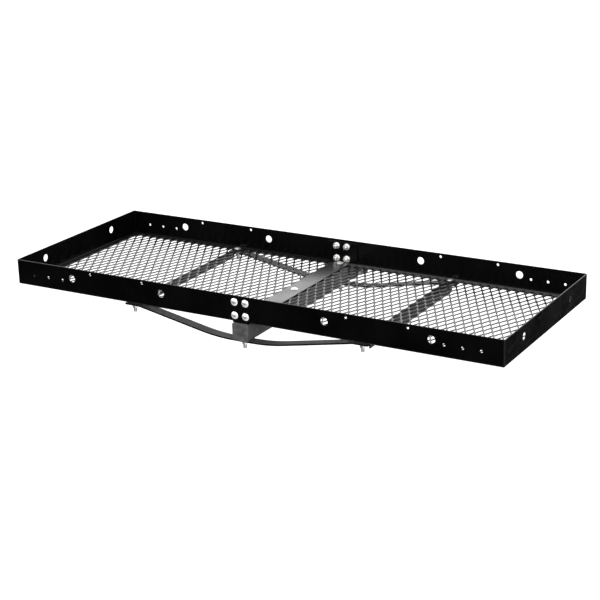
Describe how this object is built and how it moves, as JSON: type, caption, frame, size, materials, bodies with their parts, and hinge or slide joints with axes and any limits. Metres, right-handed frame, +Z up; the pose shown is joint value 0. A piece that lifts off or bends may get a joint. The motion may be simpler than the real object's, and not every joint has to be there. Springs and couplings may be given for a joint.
{
  "type": "folding hitch cargo carrier",
  "caption": "Hitch-mounted cargo carrier: a bolted two-piece steel tray with raised mesh floors, carried on a square tube that folds up at a pivot ahead of its shank.",
  "frame": {"origin": "centre of the hitch pin hole, on the centreline of the hitch shank", "axes": "+X along the tray's long side, +Y towards the vehicle along the shank, +Z up; the tray is in its lowered position"},
  "size_m": [1.524, 0.8, 0.1543],
  "materials": {
    "black_coat": "semi-gloss black powder coat",
    "tube_coat": "satin dark grey-black coat",
    "strip_coat": "gloss black powder coat",
    "mesh_coat": "gloss black dipped coat",
    "zinc": "bright zinc plate",
    "cap_plastic": "moulded satin black",
    "grip_vinyl": "dipped vinyl"
  },
  "bodies": {
    "shank": {"shank_tube": "tube_coat", "left_fold_plate": "tube_coat", "right_fold_plate": "tube_coat", "lock_pin_guide": "tube_coat", "pivot_bolt": "zinc", "pivot_washers": "zinc", "pivot_nut": "zinc"},
    "tray": {"center_strip": "strip_coat", "front_brace_bolts": "zinc", "front_brace_nuts": "zinc", "front_brace_washers": "zinc", "front_splice_bolts": "zinc", "front_splice_nuts": "zinc", "front_splice_plate": "black_coat", "front_splice_washers": "zinc", "front_truss_strap": "tube_coat", "left_cross_brace": "tube_coat", "left_end_rail": "black_coat", "left_front_rail": "black_coat", "left_inner_bar": "black_coat", "left_mesh_floor": "mesh_coat", "left_rear_rail": "black_coat", "main_tube": "tube_coat", "middle_bolts": "zinc", "middle_nuts": "zinc", "middle_washers": "zinc", "pivot_bush": "tube_coat", "rear_brace_bolts": "zinc", "rear_brace_nuts": "zinc", "rear_brace_washers": "zinc", "rear_splice_bolts": "zinc", "rear_splice_nuts": "zinc", "rear_splice_plate": "black_coat", "rear_splice_washers": "zinc", "rear_truss_strap": "tube_coat", "right_cross_brace": "tube_coat", "right_end_rail": "black_coat", "right_front_rail": "black_coat", "right_inner_bar": "black_coat", "right_mesh_floor": "mesh_coat", "right_rear_rail": "black_coat", "strap_middle_bolts": "zinc", "strap_middle_nuts": "zinc", "strap_middle_washers": "zinc", "tube_end_cap": "cap_plastic"},
    "lock_pin": {"lock_pin": "zinc", "lock_pin_grip": "grip_vinyl"}
  },
  "joints": [
    {"name": "tray_fold", "type": "hinge", "parent": "shank", "child": "tray", "pos_m": [0, -0.124, 0], "axis": [-1, 0, 0], "range_deg": [0, 90]},
    {"name": "lock_pin_slide", "type": "slide", "parent": "shank", "child": "lock_pin", "axis": [-1, 0, 0], "range_m": [0, 0.0718]}
  ]
}
